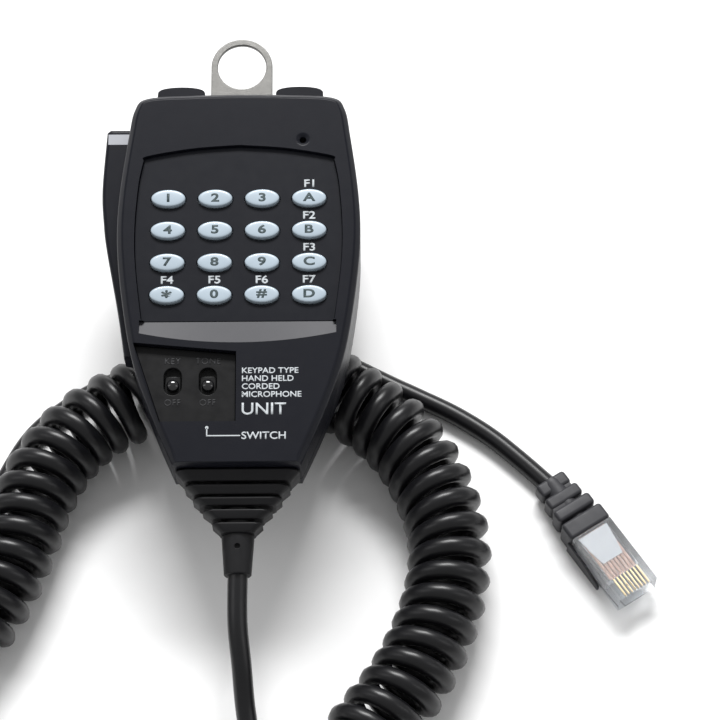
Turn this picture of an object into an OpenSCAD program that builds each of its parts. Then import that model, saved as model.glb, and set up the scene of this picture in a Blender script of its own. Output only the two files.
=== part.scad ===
// Hand microphone with a 16-key pad, a curly cord and an 8-way modular plug.
// The microphone's own frame has X across, Y from the cord end to the hanger
// and Z out of the front face. Y = 0 is near the middle of the front face and
// Z = 0 is the joint between the two shells. place() turns that frame to how
// the microphone lies, on its own curly cord, with the hanger hole at the
// part's origin. Cords and plug are given in the part's frame.

/* [Case] */
// Height of the front shell above the joint
front_h = 13; // [12.8:0.1:13.6]
// Depth of the rear shell below the joint at the hanger end
rear_h = 21.7; // [21:0.1:22.2]
// Angle of the back face to the joint, which is also how the case lies
wedge = 9; // [8:0.5:9.5]
// Width of the bevel around the front face
bevel = 2; // [1.4:0.1:2.2]
// Wall thickness of both shells
wall = 2.2; // [2:0.1:2.4]

/* [Keypad] */
// Distance between key columns
key_dx = 12; // [11.8:0.1:12]
// Distance between key rows
key_dy = 8.8; // [8.6:0.1:8.8]
// Width of a key cap
key_w = 8.7; // [8:0.1:9]
// Height of a key cap
key_l = 4.6; // [4:0.1:4.8]
// How far a key stands out of its panel
key_proud = 1.3; // [1.1:0.1:1.5]
// Depth of the keypad recess under the front face
recess = 1.2; // [1:0.1:1.4]

/* [Buttons] */
// Width of an up or down button
top_button_w = 12.4; // [11:0.1:12.6]
// Distance of the top buttons from the middle
top_button_x = 15.4; // [15.2:0.1:15.8]
// Reach of the top buttons beyond the case
top_button_out = 3.7; // [3.2:0.1:4]
// Width across each slide switch well
well_w = 4.4; // [4:0.1:4.6]
// Length of each slide switch well
well_l = 7.2; // [7:0.1:7.4]
// Diameter of a slide switch knob
knob_d = 3.2; // [3:0.1:3.4]

/* [Hanger] */
// Diameter of the hanging hole
hanger_hole_d = 12.8; // [12:0.1:13]
// Outer diameter of the hanger ring
hanger_d = 16.2; // [16:0.1:17]
// Thickness of the hanger plate
hanger_t = 1.2; // [1:0.1:1.2]
// Distance of the hole from the frame's Y = 0
hanger_y = 66; // [65.5:0.1:66.5]

/* [Cord] */
// Diameter of the cord
cord_d = 5; // [4.8:0.1:5]
// Outer diameter of the curly part
coil_d = 21.5; // [21:0.1:21.5]

/* [Plug] */
// Width of the modular plug
plug_w = 11.68; // [11.58:0.01:11.78]
// Length of the modular plug
plug_l = 21.5; // [21:0.1:22]
// Height of the modular plug's body
plug_h = 6.6; // [6.5:0.1:6.7]
// Length of the boot behind the plug
boot_l = 18.6; // [18:0.1:19]

/* [Hidden] */
key_names = [
  ["key_1", "key_2", "key_3", "key_a"],
  ["key_4", "key_5", "key_6", "key_b"],
  ["key_7", "key_8", "key_9", "key_c"],
  ["key_star", "key_0", "key_hash", "key_d"]
];

charcoal = [0.16, 0.16, 0.18];
black = [0.06, 0.06, 0.07];
pale_key = [0.76, 0.82, 0.86];
steel = [0.66, 0.66, 0.64];
board_green = [0.05, 0.28, 0.16];
gold = [0.83, 0.66, 0.28];
clear = [0.85, 0.87, 0.9, 0.5];

$fn = 48;
gap = 0.3;
eps = 0.01;

// Right half of the case outline, from the cord end to the hanger end.
end_y = -48.1;
top_y = 52.9;
half_outline = [
  [16, -48.1], [21.5, -35], [26.6, -20], [29.6, -3], [31, 12],
  [30.6, 25], [28.6, 41], [27.2, 48.6], [24, 51.9], [12, 52.7], [0, top_y]
];

// Catmull-Rom spline through pts with n steps per span.
function blend4(a, b, c, d, t) =
  0.5 * (2 * b + (c - a) * t + (2 * a - 5 * b + 4 * c - d) * t * t
         + (3 * b - a - 3 * c + d) * t * t * t);
function spline(pts, n) = let (last = len(pts) - 1) [
  for (i = [0 : last - 1], k = [0 : n - 1])
    blend4(pts[max(i - 1, 0)], pts[i], pts[i + 1], pts[min(i + 2, last)], k / n),
  pts[last]
];
function flip(p) = [-p[0], p[1]];
function backwards(list) = [for (i = [len(list) - 1 : -1 : 0]) list[i]];

right_side = spline(half_outline, 3);
left_side = [for (i = [len(right_side) - 2 : -1 : 0]) flip(right_side[i])];
outline = concat(right_side, left_side);

// Outline moved inwards by d along its own normals.
function unit(v) = v / max(norm(v), 1e-6);
function inward(pts, i) = let (
  n = len(pts),
  a = unit(pts[i] - pts[(i + n - 1) % n]),
  b = unit(pts[(i + 1) % n] - pts[i]),
  m = unit(a + b)
) [-m[1], m[0]] / max(m * b, 0.7);
function inset(pts, d) = [for (i = [0 : len(pts) - 1]) pts[i] + d * inward(pts, i)];

// Solid between rings of equal length, closed by its first and last ring.
module loft(rings) {
  n = len(rings[0]);
  m = len(rings);
  points = [for (r = rings, p = r) p];
  sides = [
    for (k = [0 : m - 2], i = [0 : n - 1])
      let (a = k * n + i, b = k * n + (i + 1) % n)
        each [[a, a + n, b + n], [a, b + n, b]]
  ];
  first = [for (i = [0 : n - 1]) i];
  last = [for (i = [n - 1 : -1 : 0]) (m - 1) * n + i];
  polyhedron(points, concat([first], sides, [last]), convexity = 6);
}

// Column of the case outline moved inwards by d, from z0 to z1.
module column(d, z0, z1) {
  translate([0, 0, z0])
    linear_extrude(z1 - z0)
      polygon(inset(outline, d));
}
// Depth of the rear shell at y, and the space above its back face plus t.
function rear_depth(y) = rear_h - (top_y - y) * tan(wedge);
module above_back(t) {
  translate([-60, top_y, -rear_h + t])
    rotate([-wedge, 0, 0])
      translate([0, -200, 0])
        cube([120, 300, 80]);
}

// Tube with a round cross-section along route points.
function along(pts, i) = unit(pts[min(i + 1, len(pts) - 1)] - pts[max(i - 1, 0)]);
function level(v) = unit(cross(v, abs(v[2]) > 0.9 ? [0, 1, 0] : [0, 0, 1]));
module tube(pts, r, sides) {
  rings = [
    for (i = [0 : len(pts) - 1])
      let (t = along(pts, i), u = level(t), w = cross(t, u))
        [for (k = [0 : sides - 1])
          let (a = 360 * (k + 0.5) / sides) pts[i] + r * (cos(a) * u + sin(a) * w)]
  ];
  loft(rings);
}

// The microphone's frame to the part's frame.
module place() {
  rotate([wedge, 0, 0])
    translate([0, -hanger_y, 0])
      children();
}

// Closed oval column, w wide and l long.
oval_steps = 32;
module oval(w, l, h) {
  linear_extrude(h)
    polygon([for (i = [0 : oval_steps - 1])
      let (a = 360 * i / oval_steps) [w / 2 * cos(a), l / 2 * sin(a)]]);
}
// Column with two round ends, its length along Y.
module stadium(w, l, h) {
  translate([-w / 2, -(l - w) / 2, 0])
    cube([w, l - w, h]);
  for (s = [-1, 1])
    translate([0, s * (l - w) / 2, 0])
      cylinder(d = w, h = h);
}
// Box centred in X and Y.
module block(x, y, z) {
  translate([-x / 2, -y / 2, 0])
    cube([x, y, z]);
}

// Keypad recess.
key_x0 = -1.5 * key_dx;
key_y0 = 23.1;
panel_z = front_h - recess;
panel_t = 1;
ceiling_z = 9.6;
panel_side = [[24.4, -10], [26.1, 4], [26.5, 15], [25.7, 27], [24.5, 33.6]];
panel_top = [[24.5, 33.6], [23.6, 34.8], [12, 36.9], [0, 37.8]];
panel_half = concat([[0, -10.4], [23.9, -10.4]], spline(panel_side, 2), spline(panel_top, 2));
panel_outline = concat(
  panel_half, [for (i = [len(panel_half) - 2 : -1 : 1]) flip(panel_half[i])]
);
band_y = -15.6;
band_x = 23.2;

panel_mid_y = 13;
function shrunk_panel(k) = [
  for (p = panel_outline) [k * p[0], panel_mid_y + k * (p[1] - panel_mid_y)]
];

// Switch bay.
bay_right = -0.3;
bay_top = -18.7;
bay_top_left = -16.2;
bay_low = -37.2;
bay_t = 1;
bay_z = front_h - 2;
switch_x = [-16.2, -7.4];
switch_y = -26;
knob_low = -0.9;

// Push-to-talk bar.
pin_at = [-23, -14];
pin_d = 2;
pin_fit = 0.05;
bar_low = -5;
bar_high = 3.4;
bar_outer = [[-29.3, -16.4], [-31.2, -4], [-34.3, 12.5], [-35.3, 20], [-35.9, 30], [-35, 46]];
bar_top = [[-34.2, 46.8], [-25.6, 46.8]];
bar_inner = [[-26.3, 38], [-26.6, 28], [-26.4, 12], [-25.8, 0], [-25, -8], [-22.4, -11.4]];
bar_foot = [[-20.9, -12.6], [-20.5, -14.4], [-21.4, -16], [-23, -16.6], [-26, -16.6]];

// Where the screws are.
upper_screws = [[-19.5, 37.5], [23.8, 36]];
lower_screws = [[-11.5, -41.5], [11.5, -41.5]];
case_screw_at = concat(upper_screws, lower_screws);
board_screw_at = [[-16.5, -12.6], [14, -24], [5, -34]];
hanger_screw_at = [[-5, 44.5], [5, 44.5]];
boss_r = 2.6;
thread_r = 1.1;
screw_head_r = 2.2;

// Board and what stands on it.
board_low = 4;
board_t = 1.6;
board_top = board_low + board_t;
mat_t = 1.2;
dome_h = 1;
capsule_at = [16.4, 39.3];
capsule_d = 6;
light_at = [[-9, 39], [7, 39], [-12, -12.6], [12, -12.6]];

// Front shell: stepped bevel, keypad recess, switch bay and side windows.
module front_case() {
  color(charcoal)
    place()
      difference() {
        union() {
          difference() {
            union() {
              column(0, 0, front_h - bevel);
              column(bevel / 3, front_h - bevel - eps, front_h - bevel / 2);
              column(bevel * 0.8, front_h - bevel / 2 - eps, front_h);
            }
            column(wall, -1, ceiling_z);
          }
          for (p = case_screw_at)
            translate([p[0], p[1], 0])
              cylinder(r = boss_r, h = ceiling_z + 0.4);
          for (p = board_screw_at)
            translate([p[0], p[1], board_top])
              cylinder(r = 2.2, h = ceiling_z + 0.4 - board_top);
        }
        // Bores for the case screws and the board screws.
        for (p = case_screw_at)
          translate([p[0], p[1], -1])
            cylinder(r = thread_r, h = 8.5);
        for (p = board_screw_at)
          translate([p[0], p[1], board_top - 1])
            cylinder(r = thread_r, h = 4.6);
        keypad_cuts();
        bay_cuts();
        ptt_window();
        top_button_windows();
        translate([-hanger_d / 2 - 0.1, 40, -1])
          cube([hanger_d + 0.2, 15, 1 + hanger_t / 2]);
        // Sound hole with its shallow dish.
        translate([capsule_at[0], capsule_at[1], ceiling_z - 1])
          cylinder(r = 0.9, h = 6);
        translate([capsule_at[0], capsule_at[1], front_h - 0.5])
          cylinder(r = 2, h = 1);
        // Hole for the inner end of the strain relief.
        translate([0, end_y - 1, strain_z])
          rotate([-90, 0, 0])
            cylinder(r = neck_r, h = 5);
      }
}

module keypad_cuts() {
  translate([0, 0, panel_z - panel_t])
    linear_extrude(5)
      polygon(panel_outline);
  translate([0, 0, ceiling_z - 1])
    linear_extrude(5)
      polygon(shrunk_panel(0.94));
  // Sloping band at the lower edge of the recess.
  translate([-band_x, 0, 0])
    rotate([90, 0, 90])
      linear_extrude(2 * band_x)
        polygon([
          [-9.6, panel_z + 0.01], [-10.4, panel_z + 0.01], [band_y, front_h],
          [band_y, front_h + 1], [-9.6, front_h + 1]
        ]);
}

function bay_left(y) = -19.3 - (y - bay_low) * 0.33;
bay_outline = [
  [bay_left(bay_low), bay_low], [bay_right, bay_low],
  [bay_right, bay_top], [bay_left(bay_top_left) / 2, (bay_top + bay_top_left) / 2 - 0.2],
  [bay_left(bay_top_left), bay_top_left]
];
module bay_cuts() {
  translate([0, 0, bay_z - bay_t])
    linear_extrude(5)
      polygon(bay_outline);
  translate([0, 0, ceiling_z - 1])
    linear_extrude(5)
      polygon(inset(bay_outline, 1.2));
}

module ptt_window() {
  translate([-40, -17.4, bar_low - gap])
    cube([17.4, 64.8, bar_high - bar_low + 2 * gap]);
}

button_low = 2;
button_high = 8;
module top_button_windows() {
  for (s = [-1, 1])
    translate([s * top_button_x, top_y - 5, button_low - gap])
      translate([-top_button_w / 2 - gap, 0, 0])
        cube([top_button_w + 2 * gap, 10, button_high - button_low + 2 * gap]);
}

// Rear shell: its back face slopes so that it is deepest at the hanger end.
module rear_case() {
  color(charcoal)
    place()
      difference() {
        union() {
          difference() {
            intersection() {
              column(0, -30, 0);
              above_back(0);
            }
            intersection() {
              column(wall, -30, 1);
              above_back(wall);
            }
          }
          for (p = case_screw_at)
            rear_post(p, boss_r, 0);
          for (p = hanger_screw_at)
            rear_post(p, 2.2, -hanger_t / 2);
          rear_post(pin_at, 2.4, bar_low - gap);
          translate([-20.4, 25, -rear_depth(25) + 1])
            cube([1.6, 6, rear_depth(25) + 1]);
        }
        for (p = case_screw_at)
          translate([p[0], p[1], -rear_depth(p[1]) - 1]) {
            cylinder(r = thread_r + 0.2, h = 40);
            cylinder(r = screw_head_r + 0.2, h = rear_depth(p[1]) - 2);
          }
        for (p = hanger_screw_at)
          translate([p[0], p[1], -4.2])
            cylinder(r = thread_r, h = 5);
        translate([pin_at[0], pin_at[1], -8.5])
          cylinder(d = pin_d, h = 10);
        ptt_window();
        translate([-hanger_d / 2 - 0.1, 40, -hanger_t / 2])
          cube([hanger_d + 0.2, 15, 5]);
        translate([0, end_y - 1, strain_z])
          rotate([-90, 0, 0])
            cylinder(r = neck_r, h = 5);
      }
}
// Round post on the rear shell's floor, up to z.
module rear_post(p, r, z) {
  low = -rear_depth(p[1]) + 1.2;
  translate([p[0], p[1], low])
    cylinder(r = r, h = z - low);
}

// Keypad.
module key_panel() {
  color(black)
    place()
      difference() {
        translate([0, 0, panel_z - panel_t])
          linear_extrude(panel_t)
            polygon(inset(panel_outline, 0.05));
        for (r = [0 : 3], c = [0 : 3])
          translate([key_x0 + c * key_dx, key_y0 - r * key_dy, 0])
            oval(key_w + 2 * gap, key_l + 2 * gap, 20);
      }
}
key_flange_z = 9;
module key(r, c) {
  color(pale_key)
    place()
      translate([key_x0 + c * key_dx, key_y0 - r * key_dy, 0]) {
        translate([0, 0, key_flange_z])
          oval(key_w + 1.6, key_l + 1.6, 1.2);
        translate([0, 0, key_flange_z + 1])
          oval(key_w, key_l, panel_z + key_proud - 0.5 - key_flange_z - 1);
        loft([
          for (s = [[1, 0.5], [0.97, 0.25], [0.86, 0.06], [0.6, 0]])
            [for (i = [0 : oval_steps - 1])
              let (a = 360 * i / oval_steps)
                [s[0] * key_w / 2 * cos(a), s[0] * key_l / 2 * sin(a),
                 panel_z + key_proud - s[1]]]
        ]);
      }
}
module key_mat() {
  color([0.7, 0.7, 0.68])
    place() {
      translate([0, 0, board_top])
        linear_extrude(mat_t)
          polygon(shrunk_panel(0.92));
      for (r = [0 : 3], c = [0 : 3])
        translate([key_x0 + c * key_dx, key_y0 - r * key_dy, board_top + mat_t - eps])
          cylinder(d1 = 5, d2 = 3.6, h = dome_h);
    }
}

// Switch bay.
module switch_plate() {
  color(black)
    place()
      difference() {
        translate([0, 0, bay_z - bay_t])
          linear_extrude(bay_t)
            polygon(inset(bay_outline, 0.05));
        for (x = switch_x)
          translate([x, switch_y, 0])
            stadium(well_w, well_l, 20);
      }
}
module slide_knob(x) {
  color(black)
    place()
      translate([x, switch_y + knob_low, 0]) {
        translate([0, 0, 8.4])
          block(4, 5.4, 1.2);
        translate([0, 0, 9.5])
          cylinder(d = knob_d, h = 1.2);
        translate([0, 0, 10.7 - eps])
          cylinder(d1 = knob_d, d2 = knob_d - 1.2, h = 0.8);
      }
}
module slide_switches() {
  color(steel)
    place()
      for (x = switch_x)
        translate([x, switch_y, board_top])
          block(6.4, 9.4, 2.4);
}

// Board and what stands on it.
board_half = [[16.5, -36.5], [22.6, -20], [25.6, -3], [26.8, 12], [26.2, 25], [22.6, 47.4]];
module circuit_board() {
  side = spline(board_half, 2);
  color(board_green)
    place()
      difference() {
        translate([0, 0, board_low])
          linear_extrude(board_t)
            polygon(concat(side, backwards([for (p = side) flip(p)])));
        for (p = upper_screws)
          translate([p[0], p[1], 0])
            cylinder(r = boss_r + 0.5, h = 20);
        for (p = board_screw_at)
          translate([p[0], p[1], 0])
            cylinder(r = thread_r, h = 20);
      }
}
module board_parts() {
  color(black)
    place() {
      translate([4, 8, board_low - 2])
        block(12, 12, 2);
      translate([-8, 26, board_low - 1.6])
        block(6, 8, 1.6);
      translate([14, -10, board_low - 2.6])
        block(7, 5, 2.6);
      for (x = [-10, -5, 0, 5, 10])
        translate([x, -8, board_low - 0.9])
          block(2, 1.25, 0.9);
      translate([18, 24, board_low - 5])
        cylinder(d = 5, h = 5);
    }
}
module key_lights() {
  color([0.95, 0.95, 0.85])
    place()
      for (p = light_at)
        translate([p[0], p[1], board_top])
          block(1.6, 0.8, 0.6);
}
module mic_capsule() {
  color(steel)
    place()
      translate([capsule_at[0], capsule_at[1], board_top + 0.7])
        cylinder(d = capsule_d, h = 2.7);
}
module mic_holder() {
  color(black)
    place()
      translate([capsule_at[0], capsule_at[1], board_top])
        difference() {
          cylinder(d = capsule_d + 1.6, h = 3.9);
          translate([0, 0, 0.7])
            cylinder(d = capsule_d, h = 5);
        }
}
module board_connector() {
  color([0.9, 0.88, 0.8])
    place()
      translate([3, -30, board_low - 4])
        block(12, 4, 4);
}
module board_screws() {
  color(steel)
    place()
      for (p = board_screw_at)
        translate([p[0], p[1], 0]) {
          translate([0, 0, board_low - 1.2])
            cylinder(r = 1.9, h = 1.2);
          translate([0, 0, board_low - 0.5])
            cylinder(r = thread_r, h = 5);
        }
}

// Push-to-talk bar, its pin, spring and switch.
module ptt_bar() {
  color(charcoal)
    place()
      difference() {
        translate([0, 0, bar_low])
          linear_extrude(bar_high - bar_low)
            polygon(concat(spline(bar_outer, 4), bar_top, bar_inner, bar_foot));
        translate([pin_at[0], pin_at[1], -20])
          cylinder(r = pin_d / 2 + pin_fit, h = 40);
      }
}
module ptt_pin() {
  color(steel)
    place()
      translate([pin_at[0], pin_at[1], -8.5])
        cylinder(d = pin_d, h = 12.1);
}
spring_y = 28;
spring_z = -1;
spring_turns = 5;
spring_r = 1.8;
spring_from = -26.2;
spring_to = -20.8;
module ptt_spring() {
  steps = 10;
  total = spring_turns * steps;
  color(steel)
    place()
      tube([
        for (i = [0 : total])
          let (a = 360 * i / steps)
            [spring_from + (spring_to - spring_from) * i / total,
             spring_y + spring_r * cos(a), spring_z + spring_r * sin(a)]
      ], 0.25, 6);
}
module ptt_switch() {
  color(black)
    place() {
      translate([-22.1, 14, 0.6])
        block(4, 6, 3.4);
      translate([-24.5, 14, 2])
        rotate([0, 90, 0])
          cylinder(d = 2, h = 0.5);
    }
}

// Top buttons and their switches.
button_in = 49.1;
nose_l = 2.6;
nose_y = top_y + top_button_out - nose_l;
module top_button(s) {
  color(charcoal)
    place()
      translate([s * top_button_x, 0, button_low])
        difference() {
          union() {
            translate([-top_button_w / 2, button_in + 0.5, 0])
              cube([top_button_w, nose_y - button_in - 0.5, button_high - button_low]);
            translate([0, nose_y - eps, 0])
              button_nose(top_button_w, nose_l, button_high - button_low);
            translate([-top_button_w / 2 + 0.4, button_in, -1.2])
              cube([top_button_w - 0.8, 0.6, button_high - button_low + 1.2]);
          }
          // Finger groove across the nose.
          translate([-top_button_w / 2 + 2, top_y + top_button_out - 0.7, button_high - button_low - 1.6])
            cube([top_button_w - 4, 2, 0.8]);
        }
}
// Rounded nose, w wide, reaching l along Y, h high.
module button_nose(w, l, h) {
  steps = 10;
  linear_extrude(h)
    polygon([for (i = [0 : steps])
      let (a = 180 * i / steps) [w / 2 * cos(a), l * sqrt(max(sin(a), 0))]]);
}
module top_switches() {
  color(black)
    place()
      for (s = [-1, 1])
        translate([s * top_button_x, 46.5, board_top]) {
          block(5, 1.8, 2.2);
          translate([0, 0.9, 1.2])
            rotate([-90, 0, 0])
              cylinder(d = 1.4, h = 0.3);
        }
}

// Hanger plate and screws.
module hanger_plate() {
  color(steel)
    place()
      difference() {
        translate([0, 0, -hanger_t / 2]) {
          translate([0, hanger_y, 0])
            cylinder(d = hanger_d, h = hanger_t, $fn = 96);
          translate([-hanger_d / 2, 41, 0])
            cube([hanger_d, hanger_y - 41, hanger_t]);
        }
        translate([0, hanger_y, -5])
          cylinder(d = hanger_hole_d, h = 10, $fn = 96);
        for (p = hanger_screw_at)
          translate([p[0], p[1], -5])
            cylinder(r = thread_r, h = 10);
      }
}
module hanger_screws() {
  color(steel)
    place()
      for (p = hanger_screw_at)
        translate([p[0], p[1], 0]) {
          translate([0, 0, hanger_t / 2])
            cylinder(r = 2, h = 1.4);
          translate([0, 0, -4])
            cylinder(r = thread_r, h = 4 + hanger_t / 2 + eps);
        }
}
module case_screws() {
  color(steel)
    place()
      for (p = case_screw_at)
        translate([p[0], p[1], 0]) {
          translate([0, 0, -5])
            cylinder(r = thread_r, h = 11);
          translate([0, 0, -4.6])
            cylinder(r = screw_head_r, h = 1.4);
        }
}

// Strain relief: five shrinking lamellae on a core, then a tapered sleeve.
strain_z = 2;
neck_r = 3.6;
core_r = 4;
core_l = 15.5;
core_drop = 1.8;
sleeve_y = -63.4;
sleeve_end_y = -73.6;
// Each lamella: near y, far y, near half-width, far half-width, near top, far top.
lamellae = [
  [-48.3, -51.3, 15.5, 13.6, 9.6, 8.8],
  [-52, -54.4, 13.1, 11.3, 8.6, 7.8],
  [-55, -57, 11.1, 9.8, 7.6, 7],
  [-57.9, -60.2, 8.7, 6.8, 6.6, 6],
  [-61, -63.4, 6.3, 4.6, 5.6, 5]
];
lamella_low = -2.4;
module lamella(p) {
  loft([
    lamella_ring(p[1], p[3] - 0.4, p[5] - 0.4, lamella_low + 0.6),
    lamella_ring(p[1] + 0.3, p[3], p[5], lamella_low + 0.3),
    lamella_ring(p[0] - 0.4, p[2], p[4], lamella_low),
    lamella_ring(p[0], p[2] - 0.3, p[4] - 0.3, lamella_low + 0.3)
  ]);
}
// Ring in the XZ plane with cut corners, seen from the hanger end.
function lamella_ring(y, w, high, low) = let (c = min(2.2, w / 3)) [
  [-w, y, low + c], [-w, y, high - c], [-w + c, y, high], [w - c, y, high],
  [w, y, high - c], [w, y, low + c], [w - c, y, low], [-w + c, y, low]
];
module strain_relief() {
  color(black)
    place()
      difference() {
        union() {
          for (p = lamellae)
            lamella(p);
          translate([0, end_y + 3.4, strain_z])
            rotate([90, 0, 0])
              cylinder(r = neck_r - 0.02, h = 3.6);
          translate([0, end_y - 0.65, strain_z])
            rotate([90 + atan(core_drop / core_l), 0, 0])
              cylinder(r = core_r, h = core_l);
          translate([0, sleeve_y + 0.4, 0.2])
            rotate([90, 0, 0])
              cylinder(r1 = core_r + 0.1, r2 = 3.4, h = sleeve_y - sleeve_end_y + 0.4);
        }
        // Small moulding hole on the sleeve.
        translate([0, -66.8, 2])
          cylinder(r = 0.7, h = 5);
      }
}
module cord_clamp() {
  color(steel)
    place()
      translate([0, end_y + 3.4, strain_z])
        rotate([-90, 0, 0])
          cylinder(r = 2.9, h = 2.4);
}
wire_turns = [[0, -42.3, 2], [0, -40, 1.2], [1, -36, 0], [2, -33.2, 0.6], [2.6, -32.1, 1.5]];
module inner_wires() {
  color([0.75, 0.2, 0.15])
    place()
      for (x = [-1.6, -0.6, 0.4, 1.4])
        tube([for (p = wire_turns) p + [x * 0.9, 0, 0]], 0.4, 6);
}

// Surface that the part rests on, and the routes of the cord. A route's
// points give x, y and the height of the cord's middle above the surface.
rest_z = sin(wedge) * (top_y - hanger_y) - cos(wedge) * rear_h - coil_d - 0.1;
sleeve_end = [0, cos(wedge) * (sleeve_end_y - hanger_y) + sin(wedge) * -0.2,
              sin(wedge) * (sleeve_end_y - hanger_y) + cos(wedge) * 0.2];
cord_r = cord_d / 2;
coil_r = coil_d / 2;
function on_floor(pts, h) = [for (p = pts) [p[0], p[1], rest_z + h]];
function lifted(pts) = [for (p = pts) [p[0], p[1], rest_z + p[2]]];

lead_route = [
  [0, -149, 20.8], [1, -159, 17], [2, -169, 11.5], [4, -179, 8.4], [8, -186, 8.6],
  [14, -190, 9.6], [21, -187, 10.6], [26, -182, 10.75]
];
coil_route = [
  [26, -182], [34, -172], [42, -161], [48, -149], [52, -136], [53, -123],
  [50, -110], [45, -99], [38, -90], [29, -82.5], [20, -76], [10.5, -70.5], [0, -68.3],
  [-10.5, -70.5], [-20, -76], [-28, -81.5], [-36, -86], [-44, -93], [-50, -102],
  [-54, -112], [-57, -123], [-61, -134], [-66, -144], [-72, -153]
];
tail_route = [
  [-72, -153], [-77, -162], [-84, -167], [-91, -164], [-93, -156], [-88, -148], [-79, -138],
  [-72, -126], [-67, -113], [-62, -100], [-55, -87], [-44, -77], [-33, -70.5],
  [-22, -63.5], [-9, -56], [2, -54], [13, -58], [23, -64], [33, -69.7], [40, -73.6],
  [46.5, -77], [55.7, -82.1], [64.7, -88.5], [72.4, -95.6], [79.4, -102.7]
];
module cord_lead() {
  color(black)
    tube(spline(concat([sleeve_end], lifted(lead_route)), 2), cord_r, 8);
}
module cord_coil() {
  color(black)
    tube(spline(on_floor(coil_route, coil_r), 2), coil_r, 16);
}
module cord_tail() {
  color(black)
    tube(spline(on_floor(tail_route, cord_r), 2), cord_r, 8);
}

// Modular plug. Its frame has X along the plug, with 0 at the boot's front.
plug_at = [89.6, -118.2];
plug_turn = -57;
plug_lift = 2.2;
module at_plug() {
  translate([plug_at[0], plug_at[1], rest_z])
    rotate([0, 0, plug_turn])
      children();
}
module plug_body() {
  color(clear)
    at_plug()
      difference() {
        translate([0, -plug_w / 2, plug_lift])
          cube([plug_l - 1, plug_w, plug_h]);
        // Slots over the contacts.
        for (i = [0 : 7])
          translate([plug_l - 7, contact_y(i) - 0.3, plug_lift + plug_h - 1.2])
            cube([8, 0.6, 3]);
        // Room for the wires, open towards the boot.
        translate([-1, -4.6, plug_lift + 1.2])
          cube([15.4, 9.2, plug_h - 2.4]);
      }
}
contact_pitch = 1.02;
function contact_y(i) = (i - 3.5) * contact_pitch;
module plug_contacts() {
  color(gold)
    at_plug()
      for (i = [0 : 7])
        translate([plug_l - 6.8, contact_y(i) - 0.18, plug_lift + plug_h - 1.2])
          cube([5.4, 0.36, 0.9]);
}
module plug_wires() {
  color([0.9, 0.55, 0.3])
    at_plug()
      for (i = [0 : 7])
        translate([0.1, contact_y(i), plug_lift + 4.6])
          rotate([0, 90, 0])
            cylinder(d = 0.9, h = 14);
}
latch_x = 19.4;
latch_w = 6.2;
module plug_latch() {
  color(clear)
    at_plug()
      translate([0, latch_w / 2, 0])
        rotate([90, 0, 0])
          linear_extrude(latch_w)
            polygon([
              [4, 0.1], [9, 0.1], [latch_x - 1, plug_lift - gap - 0.9],
              [latch_x, plug_lift - gap - 0.8], [latch_x, plug_lift - gap], [9, 0.9], [4, 0.8]
            ]);
}
// Boot: a ribbed taper behind a solid collar.
module plug_boot() {
  color([0.2, 0.2, 0.21])
    at_plug() {
      boot_step(-5, 0, 6.1, 5.9, 9);
      boot_step(-5.8, -5, 4, 4, 7.4);
      boot_step(-9.4, -5.8, 5.6, 5.2, 8.4);
      boot_step(-10.2, -9.4, 3.6, 3.6, 6.6);
      boot_step(-13.8, -10.2, 5, 4.6, 7.4);
      boot_step(-14.6, -13.8, 3, 3, 6);
      boot_step(-boot_l, -14.6, 4.4, 3.6, 6.6);
      // Wings that reach along the sides of the plug.
      for (s = [-1, 1])
        translate([0, s * (plug_w / 2 + 0.4) + 0.38, 0])
          rotate([90, 0, 0])
            linear_extrude(0.76)
              polygon([[-1, 0.9], [12.5, 0.9], [12.5, 3], [7, 4.8], [-1, 5.6]]);
    }
}
module boot_step(x0, x1, w1, w0, top) {
  loft([
    boot_ring(x0, w0, top - 0.2), boot_ring(x1, w1, top)
  ]);
}
function boot_ring(x, w, top) = let (c = 1) [
  [x, w - c, 0.1], [x, w, 0.1 + c], [x, w, top - c], [x, w - c, top],
  [x, -w + c, top], [x, -w, top - c], [x, -w, 0.1 + c], [x, -w + c, 0.1]
];

front_case();
rear_case();
key_panel();
switch_plate();
for (r = [0 : 3], c = [0 : 3])
  key(r, c);
key_mat();
circuit_board();
board_parts();
key_lights();
mic_capsule();
mic_holder();
ptt_bar();
ptt_pin();
ptt_spring();
ptt_switch();
top_button(-1);  // up_button
top_button(1);  // down_button
top_switches();
slide_knob(switch_x[0]);  // lock_knob
slide_knob(switch_x[1]);  // tone_knob
slide_switches();
hanger_plate();
hanger_screws();
case_screws();
board_screws();
strain_relief();
cord_clamp();
inner_wires();
board_connector();
cord_lead();
cord_coil();
cord_tail();
plug_boot();
plug_body();
plug_latch();
plug_contacts();
plug_wires();
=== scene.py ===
import bpy
import bmesh
from math import cos, pi, radians, sin, tan
from mathutils import Matrix, Vector


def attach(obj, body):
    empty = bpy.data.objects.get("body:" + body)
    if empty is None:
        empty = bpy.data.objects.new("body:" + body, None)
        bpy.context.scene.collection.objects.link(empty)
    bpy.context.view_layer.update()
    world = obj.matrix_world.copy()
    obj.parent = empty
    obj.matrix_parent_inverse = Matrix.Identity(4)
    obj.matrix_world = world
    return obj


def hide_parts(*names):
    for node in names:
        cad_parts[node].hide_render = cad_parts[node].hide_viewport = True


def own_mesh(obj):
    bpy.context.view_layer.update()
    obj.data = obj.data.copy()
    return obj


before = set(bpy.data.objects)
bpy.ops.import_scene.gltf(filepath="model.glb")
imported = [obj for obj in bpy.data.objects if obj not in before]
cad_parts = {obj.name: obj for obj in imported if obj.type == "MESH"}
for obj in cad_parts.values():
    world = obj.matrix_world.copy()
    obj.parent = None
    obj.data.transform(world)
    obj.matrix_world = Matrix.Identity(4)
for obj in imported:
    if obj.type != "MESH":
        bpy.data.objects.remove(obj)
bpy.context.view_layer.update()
scene = bpy.context.scene

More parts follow.
